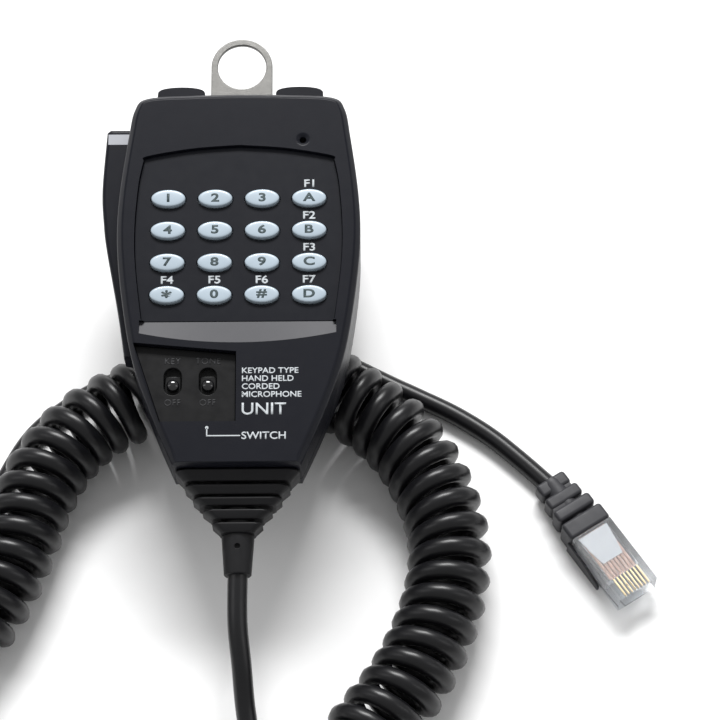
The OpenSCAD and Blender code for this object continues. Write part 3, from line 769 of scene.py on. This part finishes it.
def fixings():
    for i, p in enumerate(HANGER_SCREWS):
        screw("hanger_screw_%d" % (i + 1), p, 2.0, 6.0, 2.0, "hanger_screws")
    for i, p in enumerate(SCREWS_TOP + SCREWS_LOW):
        screw("case_screw_%d" % (i + 1), p, -5, 11.5, 2.2, "case_screws", -1)
    for i, p in enumerate(BOARD_SCREWS):
        screw("board_screw_%d" % (i + 1), p, 2.8, 5.7, 1.9, "board_screws", -1)
    pin = lathe("ptt_pin", [(0.7, -8.5), (1, -8.2), (1, 3.3), (0.7, 3.6)], (*PIN_AT, 0))
    finish(rounded(pin, 0, 3, 30), STEEL, "ptt_pin")


# ---------------------------------------------------------- strain relief

# Each lamella: Y of its two ends, half-width at each, height at each.
RELIEF = [(-48.3, -51.3, 15.5, 13.6, 9.6, 8.8), (-52, -54.4, 13.1, 11.3, 8.6, 7.8),
          (-55, -57, 11.1, 9.8, 7.6, 7), (-57.9, -60.2, 8.7, 6.8, 6.6, 6),
          (-61, -63.4, 6.3, 4.6, 5.6, 5)]
RELIEF_LOW = -2.4
CORE_START = -48.3
CORE_L = 15.5
CORE_DROP = 1.8
SLEEVE_Z = 0.2


def lamella_ring(y, w, high, less):
    """Rectangle with round corners, made smaller by less on every side."""
    w, high, low = w - less, high - less, RELIEF_LOW + less
    corner = min(2.6, w / 3)
    out = []
    for quarter, (sx, sz) in enumerate(((1, 1), (-1, 1), (-1, -1), (1, -1))):
        cx = sx * (w - corner)
        cz = high - corner if sz > 0 else low + corner
        for k in range(6):
            a = pi / 2 * (quarter + k / 5)
            out.append((cx + corner * cos(a), y, cz + corner * sin(a)))
    return out


def strain_relief():
    """Five shrinking lamellae on a core, then a tapered sleeve."""
    # Softened edge of a lamella: distance from its end, and how much smaller it is there.
    edge = [(0, 0.5), (0.12, 0.15), (0.5, 0)]
    for i, (y0, y1, w0, w1, h0, h1) in enumerate(RELIEF):
        rings = [lamella_ring(y0 - step, w0, h0, less) for step, less in edge]
        rings += [lamella_ring(y1 + step, w1, h1, less) for step, less in reversed(edge)]
        item = rounded(loft("relief_lamella_%d" % (i + 1), rings), 0, 3, 50)
        finish(item, RUBBER, "strain_relief")
    core = lathe("relief_core", [(3.55, -44.7), (3.55, -48.2), (4, CORE_START), (4, -63.8)],
                 (0, 0, 2), "Y")
    # The core slopes down towards the sleeve.
    for v in core.data.vertices:
        p = MIC.inverted() @ v.co
        p.z -= CORE_DROP * max(0, CORE_START - p.y) / CORE_L
        v.co = MIC @ p
    finish(rounded(core, 0, 3, 40), RUBBER, "strain_relief")
    sleeve = lathe("relief_sleeve", [(3.6, -63.0), (4.05, -63.3), (4.1, -63.8), (3.45, -73.2),
                                     (3.25, -73.5), (2.6, -73.6)], (0, 0, SLEEVE_Z), "Y")
    cut(sleeve, lathe("tool", [(0.7, 3.2), (0.7, 8)], (0, -66.8, 0), steps=24))
    finish(rounded(sleeve, 0.12, 2, 38), RUBBER, "strain_relief")


# ------------------------------------------------------------------- cord

# Middle of the cord: x, y and height above the surface it lies on.
LEAD = [(0, -149, 20.8), (1, -159, 17), (2, -169, 11.5), (4, -179, 8.4), (8, -186, 8.6),
        (14, -190, 9.6), (21, -187, 10.6), (26, -182, 10.75)]
COIL = [(26, -182), (34, -172), (42, -161), (48, -149), (52, -136), (53, -123),
        (50, -110), (45, -99), (38, -90), (29, -82.5), (20, -76), (10.5, -70.5), (0, -68.3),
        (-10.5, -70.5), (-20, -76), (-28, -81.5), (-36, -86), (-44, -93), (-50, -102),
        (-54, -112), (-57, -123), (-61, -134), (-66, -144), (-72, -153)]
TAIL = [(-72, -153), (-77, -162), (-84, -167), (-91, -164), (-93, -156), (-88, -148), (-79, -138),
        (-72, -126), (-67, -113), (-62, -100), (-55, -87), (-44, -77), (-33, -70.5),
        (-22, -63.5), (-9, -56), (2, -54), (13, -58), (23, -64), (33, -69.7), (40, -73.6),
        (46.5, -77), (55.7, -82.1), (64.7, -88.5), (72.4, -95.6), (79.4, -102.7)]
PITCH = 6.5
# Points in one turn, and points left out at each end, where a bridge takes over.
PER_TURN = 20
RUN = 6
PULL = 16


def helix():
    """Points of the curly part, wound about its route with even pitch."""
    up = Vector((0, 0, 1))
    radius = (COIL_D - CORD_D) / 2
    route = spline([(x, y, COIL_D / 2) for x, y in COIL], 12)
    steps = [0.0]
    for a, b in zip(route, route[1:]):
        steps.append(steps[-1] + (b - a).length)
    total = steps[-1]
    count = round(total / PITCH) * PER_TURN
    out = []
    j = 0
    for i in range(count + 1):
        s = total * i / count
        while j < len(steps) - 2 and steps[j + 1] < s:
            j += 1
        middle = route[j].lerp(route[j + 1], (s - steps[j]) / (steps[j + 1] - steps[j]))
        before, after = route[max(0, j - 4)], route[min(len(route) - 1, j + 5)]
        side = (after - before).normalized().cross(up)
        angle = -pi / 2 - 2 * pi * (i - count) / PER_TURN
        out.append(middle + radius * (cos(angle) * side + sin(angle) * up))
    return out


def bridge(before, after):
    """Smooth run from the end of one list of points to the start of the next."""
    a, b = before[-1], after[0]
    u = (a - before[-2]).normalized() * PULL
    v = (after[1] - b).normalized() * PULL
    out = []
    for k in range(1, 12):
        t = k / 12
        out.append((2 * t ** 3 - 3 * t * t + 1) * a + (t ** 3 - 2 * t * t + t) * u
                   + (3 * t * t - 2 * t ** 3) * b + (t ** 3 - t * t) * v)
    return out


def cord():
    """Lead, curly part and tail in one line. Returns it with its start and its length."""
    floor = Vector((0, 0, REST_Z))
    sleeve_end = MIC @ Vector((0, -72.4, SLEEVE_Z)) / MM - floor
    lead = spline([sleeve_end] + LEAD, 8)[:-6]
    coiled = helix()[RUN:-RUN]
    tail = spline([(x, y, CORD_D / 2) for x, y in TAIL], 8)[7:]
    points = lead + bridge(lead, coiled) + coiled + bridge(coiled, tail) + tail
    points = [(p + floor) * MM for p in points]
    curve = bpy.data.curves.new("cord", "CURVE")
    curve.dimensions = "3D"
    curve.bevel_depth = CORD_D / 2 * MM
    curve.bevel_resolution = 5
    curve.use_fill_caps = True
    line = curve.splines.new("POLY")
    line.points.add(len(points) - 1)
    for knot, p in zip(line.points, points):
        knot.co = (*p, 1)
    item = add_object("cord", curve)
    finish(item, JACKET, ["cord_lead", "cord_coil", "cord_tail"])
    length = sum((b - a).length for a, b in zip(points, points[1:]))
    return item, points[0], length


# ------------------------------------------------------------------- plug

PLUG_W = 11.68
PLUG_L = 21.5
PLUG_LOW = 2.2
PLUG_TOP = 8.8
SLOT_LOW = 7.6
WIRE_Z = 6.8
PIN_HALF = 0.18
# Each step of the boot: X of its two ends, half-width, lower and upper face.
BOOT_STEPS = [(-18.6, -14.6, 4.4, 1.35, 6.6), (-13.8, -10.2, 5, 1.1, 7.4),
              (-9.4, -5.8, 5.6, 0.85, 8.4), (-5, 0, 6.1, 0.6, 9)]
BOOT_WING = [(-1, 0.9), (12.5, 0.9), (12.5, 3), (7, 4.8), (-1, 5.6)]
# Outline of the crimp wedge: X, half-width there, height.
CRIMP_WEDGE = [(0.6, 4.4, 7.35), (5.5, 3.8, 7.35), (9.6, 3.0, 7.25), (9.6, 3.0, 7.5),
               (5.5, 3.8, 7.58), (0.6, 4.4, 7.58)]
LATCH = [(4, 0.1), (9, 0.1), (18.4, 1.0), (19.4, 1.1), (19.4, 1.9), (9, 0.9), (4, 0.8)]
CONTACT_Y = [(i - 3.5) * 1.02 for i in range(8)]


def plug_box(name, x0, x1, y0, y1, z0, z1):
    return box(name, (x0, y0, z0), (x1, y1, z1), PLUG)


def plug():
    """Ribbed boot, clear body with its crimp wedge, wires, contacts and latch."""
    pieces = []

    def keep(item, material, node, body="microphone"):
        pieces.append(finish(item, material, node, body))

    for i, (x0, x1, half, low, high) in enumerate(BOOT_STEPS):
        step = plug_box("boot_segment_%d" % (i + 1), x0, x1, -half, half, low, high)
        keep(rounded(step, 0.95, 4), BOOT_RUBBER, "plug_boot")
    # Webs that close half of each groove behind the collar.
    for i, (x, y0, y1, high) in enumerate([(-14.2, 0.6, 3.9, 6.2), (-9.8, -4.6, -0.6, 7.0)]):
        web = plug_box("boot_web_%d" % (i + 1), x - 0.6, x + 0.6, y0, y1, 1.2, high)
        keep(rounded(web, 0.1, 2), BOOT_RUBBER, "plug_boot")
    for i, s in enumerate((1, -1)):
        y = s * (PLUG_W / 2 + 0.4)
        wing = loft("boot_wing_%d" % (i + 1),
                    [[(x, y + side, z) for x, z in BOOT_WING] for side in (-0.37, 0.37)], PLUG)
        keep(rounded(wing, 0.25, 3), BOOT_RUBBER, "plug_boot")
    core = lathe("boot_core", [(2.7, -18.4), (3.0, -17), (3.3, -5), (3.3, -0.5)], (0, 0, 4.0),
                 "X", place=PLUG)
    keep(rounded(core, 0.1, 2), BOOT_RUBBER, "plug_boot")
    body = plug_box("plug_body", 0, PLUG_L - 1, -PLUG_W / 2, PLUG_W / 2, PLUG_LOW, PLUG_TOP)
    room = plug_box("tool", -1, 14.4, -4.6, 4.6, PLUG_LOW + 1.2, SLOT_LOW)
    slots = [plug_box("tool", 14.5, 22, y - 0.3, y + 0.3, SLOT_LOW, PLUG_TOP + 1)
             for y in CONTACT_Y]
    cut(body, room, joined("tool", slots))
    keep(rounded(body, 0.16, 2, 38), CLEAR, "plug_body")
    wedge = loft("crimp_wedge", [[(x, side * half, z) for x, half, z in CRIMP_WEDGE]
                                 for side in (-1, 1)], PLUG)
    keep(rounded(wedge, 0.05, 2), MILKY, "plug_body")
    wires = [lathe("wire", [(0.3, 0.1), (0.45, 0.25), (0.45, 13.9), (0.3, 14.05)],
                   (0, y, WIRE_Z), "X", 20, PLUG) for y in CONTACT_Y]
    keep(rounded(joined("plug_wires", wires), 0, 3, 40), WIRE, "plug_wires")
    pins = [plug_box("pin", 14.7, 20.1, y - PIN_HALF, y + PIN_HALF, SLOT_LOW, PLUG_TOP - 0.35)
            for y in CONTACT_Y]
    keep(rounded(joined("plug_contacts", pins), 0.06, 2), GOLD, "plug_contacts")
    latch = loft("plug_latch", [[(x, y, z) for x, z in LATCH] for y in (-3.1, 3.1)], PLUG)
    keep(rounded(latch, 0.12, 2), CLEAR, "plug_latch", "plug_latch")
    return pieces


# --------------------------------------------------------- inner CAD nodes

# Parts inside the shells keep their CAD shape and only get a material.
INNER = {
    "key_mat": SILICONE, "circuit_board": BOARD, "board_parts": CHIP, "key_lights": RESIN,
    "mic_capsule": STEEL, "mic_holder": RUBBER, "ptt_switch": CHIP,
    "top_switches": CHIP, "slide_switches": CHIP, "cord_clamp": STEEL, "inner_wires": WIRE,
    "board_connector": RESIN,
}


def inner_nodes():
    for name, material in INNER.items():
        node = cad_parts[name]
        node.data.materials.clear()
        node.data.materials.append(material)


# ------------------------------------------------------------------ stage

AIM = Vector((0.02, -0.1, -0.02))
FLOOR_HALF = 4


def light(name, place, size, power):
    """Rectangular light at place that points at the microphone."""
    data = bpy.data.lights.new(name, "AREA")
    data.shape = "RECTANGLE"
    data.size, data.size_y = size
    data.energy = power
    item = add_object(name, data)
    item.location = place
    item.rotation_euler = (AIM - Vector(place)).to_track_quat("-Z", "Y").to_euler()


def stage():
    z = REST_Z * MM
    corners = [(x * FLOOR_HALF, y * FLOOR_HALF, z) for x, y in ((-1, -1), (1, -1), (1, 1), (-1, 1))]
    mesh = bpy.data.meshes.new("floor")
    mesh.from_pydata(corners, [], [(0, 1, 2, 3)])
    floor = add_object("floor", mesh)
    floor.data.materials.append(surface("floor_paper", (0.86, 0.86, 0.86), 0.8, mottle=0.01,
                                        grain_depth=0))
    world = bpy.data.worlds.new("world")
    world.use_nodes = True
    background = world.node_tree.nodes["Background"]
    background.inputs["Color"].default_value = (1, 1, 1, 1)
    background.inputs["Strength"].default_value = 0.5
    scene.world = world
    scene.view_settings.view_transform = "Standard"
    light("key_light", (0.0, 1.35, 1.65), (1.2, 0.6), 66)
    light("left_light", (-1.4, 0.0, 1.3), (0.5, 1.2), 3)
    light("right_light", (1.5, -0.2, 1.2), (0.5, 1.2), 3)


def main():
    front_case()
    rear_case()
    keypad()
    switch_bay()
    ptt_bar()
    ptt_spring()
    top_buttons()
    hanger()
    fixings()
    strain_relief()
    inner_nodes()
    line, start, length = cord()
    pieces = plug()
    tuple(start)
    stage()


main()
